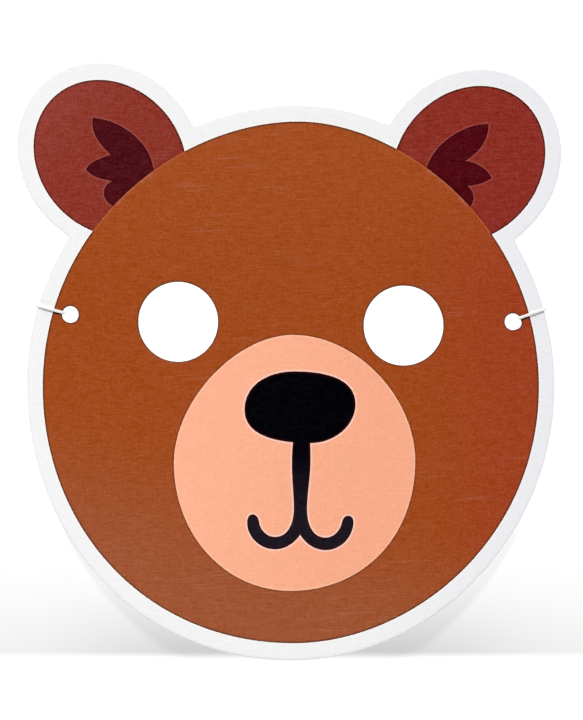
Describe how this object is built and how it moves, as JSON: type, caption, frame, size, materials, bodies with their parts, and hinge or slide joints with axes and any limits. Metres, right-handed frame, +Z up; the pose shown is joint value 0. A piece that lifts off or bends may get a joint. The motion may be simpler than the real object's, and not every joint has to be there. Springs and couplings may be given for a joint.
{
  "type": "paper animal mask",
  "caption": "Bear face mask die-cut from one bowed sheet of printed card, with round eye holes and an elastic tied through a punched hole at each side.",
  "frame": {"origin": "on the surface that the mask lies on, under the middle of the card's box", "axes": "+Z up, away from that surface and out of the printed face; +Y from the chin to the ears; +X to the right of the printed face as it is looked at"},
  "size_m": [0.1904, 0.209, 0.0186],
  "materials": {
    "printed_card": "coated card printed in flat brown, red-brown, peach and black inks, with a bare white border and back",
    "elastic": "white braided round elastic"
  },
  "bodies": {
    "root": {"mask_card": "printed_card", "left_tie": "elastic", "right_tie": "elastic", "elastic_cord": "elastic"}
  },
  "joints": []
}
